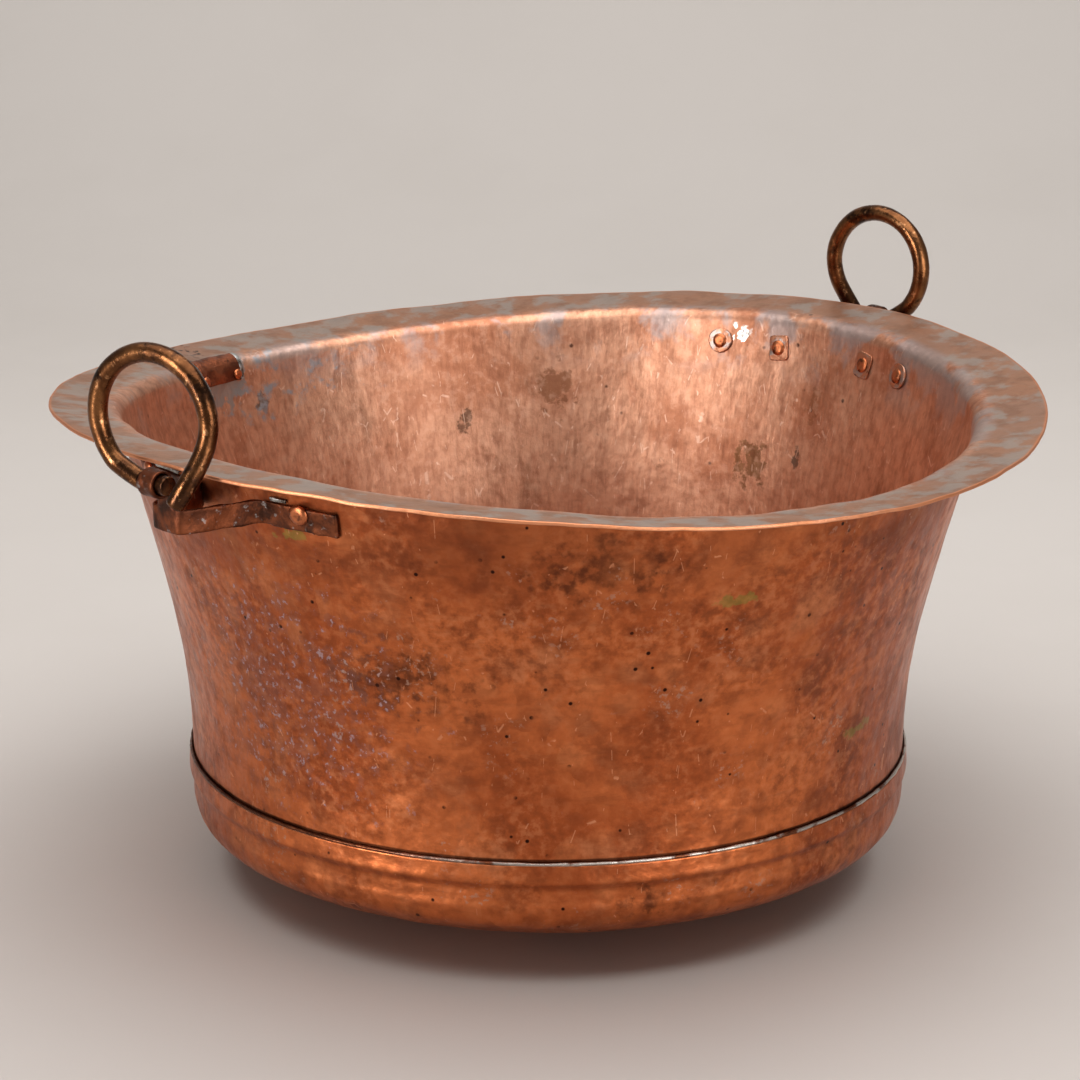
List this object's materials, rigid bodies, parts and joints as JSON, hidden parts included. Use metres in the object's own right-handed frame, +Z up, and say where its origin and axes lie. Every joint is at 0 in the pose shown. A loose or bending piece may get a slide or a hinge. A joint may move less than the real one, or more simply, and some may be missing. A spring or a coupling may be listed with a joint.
{
  "type": "copper cauldron",
  "caption": "Open hammered copper kettle with a turned-out rim, flared wall, soldered bottom pan and swinging ring handles in riveted straps.",
  "frame": {"origin": "middle of the flat foot of the base, on the floor", "axes": "+Z up through the mouth, +X towards the right ring handle, the other handle close to -X (at 183.5 degrees)"},
  "size_m": [0.6537, 0.6, 0.3755],
  "materials": {
    "hammered_copper": "hand hammered, brown patina",
    "dark_copper": "dark patina, rough",
    "tinned_copper": "worn grey tin over copper",
    "bronze": "smooth, worn, black patches",
    "grey_solder": "dull grey, lumpy"
  },
  "bodies": {
    "vessel": {"side_wall": "hammered_copper", "bottom_pan": "hammered_copper", "seam_solder": "grey_solder", "repair_patch": "tinned_copper", "patch_solder": "grey_solder", "patch_rivet_1": "tinned_copper", "patch_rivet_2": "tinned_copper", "handle_strap_left": "dark_copper", "strap_solder_left": "grey_solder", "strap_rivet_left_1": "dark_copper", "rivet_washer_left_1": "tinned_copper", "strap_rivet_left_2": "dark_copper", "rivet_washer_left_2": "tinned_copper", "strap_rivet_left_3": "dark_copper", "rivet_washer_left_3": "tinned_copper", "handle_strap_right": "dark_copper", "strap_solder_right": "grey_solder", "strap_rivet_right_1": "dark_copper", "rivet_washer_right_1": "tinned_copper", "strap_rivet_right_2": "dark_copper", "rivet_washer_right_2": "tinned_copper", "strap_rivet_right_3": "dark_copper", "rivet_washer_right_3": "tinned_copper", "strap_rivet_right_4": "dark_copper", "rivet_washer_right_4": "tinned_copper"},
    "ring_left": {"ring_handle_left": "bronze"},
    "ring_right": {"ring_handle_right": "bronze"}
  },
  "joints": [
    {"name": "ring_left_swing", "type": "hinge", "parent": "vessel", "child": "ring_left", "pos_m": [-0.30892, -0.01889, 0.299], "axis": [0.061, -0.9981, 0], "range_deg": [-15, 80]},
    {"name": "ring_right_swing", "type": "hinge", "parent": "vessel", "child": "ring_right", "pos_m": [0.3095, 0, 0.299], "axis": [0, 1, 0], "range_deg": [-15, 80]}
  ]
}
